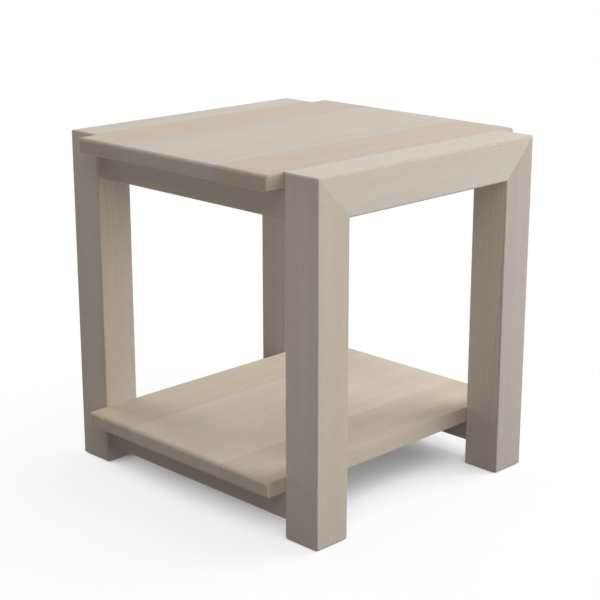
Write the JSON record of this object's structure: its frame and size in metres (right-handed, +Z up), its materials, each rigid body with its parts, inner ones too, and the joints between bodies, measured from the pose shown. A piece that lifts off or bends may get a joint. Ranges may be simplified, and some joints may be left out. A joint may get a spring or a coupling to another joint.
{
  "type": "end table with shelf",
  "caption": "Square wooden end table: mitred upside-down U side frames carry a flush, overhanging top of glued boards and a matching low shelf.",
  "frame": {"origin": "on the floor, under the middle of the table", "axes": "+Z up; X across the table from the left frame to the right; the front is at -Y and the boards run along Y"},
  "size_m": [0.559, 0.559, 0.559],
  "materials": {
    "frame_wood": "satin lacquer over a pale greige stain, grain along each piece",
    "warm_board_wood": "satin lacquer over a pale stain, warmer boards, grain from front to back",
    "pale_board_wood": "satin lacquer over a pale stain, greyer boards, grain from front to back",
    "rail_wood": "satin lacquer over a pale greige stain, grain from side to side",
    "joint_wood": "bare beech",
    "screw_steel": "zinc plated",
    "glide_nylon": "moulded nylon"
  },
  "bodies": {
    "root": {"leg_front_left": "frame_wood", "leg_front_right": "frame_wood", "leg_back_left": "frame_wood", "leg_back_right": "frame_wood", "frame_rail_left": "frame_wood", "frame_rail_right": "frame_wood", "top_board_1": "warm_board_wood", "top_board_2": "pale_board_wood", "top_board_3": "pale_board_wood", "top_board_4": "warm_board_wood", "shelf_board_1": "warm_board_wood", "shelf_board_2": "pale_board_wood", "shelf_board_3": "pale_board_wood", "shelf_board_4": "warm_board_wood", "apron_front": "rail_wood", "apron_back": "rail_wood", "shelf_rail_front": "rail_wood", "shelf_rail_back": "rail_wood", "mitre_tenon_front_left": "joint_wood", "mitre_tenon_front_right": "joint_wood", "mitre_tenon_back_left": "joint_wood", "mitre_tenon_back_right": "joint_wood", "apron_dowels": "joint_wood", "shelf_rail_dowels": "joint_wood", "top_edge_dowels": "joint_wood", "top_screws": "screw_steel", "shelf_screws": "screw_steel", "glide_front_left": "glide_nylon", "glide_front_right": "glide_nylon", "glide_back_left": "glide_nylon", "glide_back_right": "glide_nylon"}
  },
  "joints": []
}
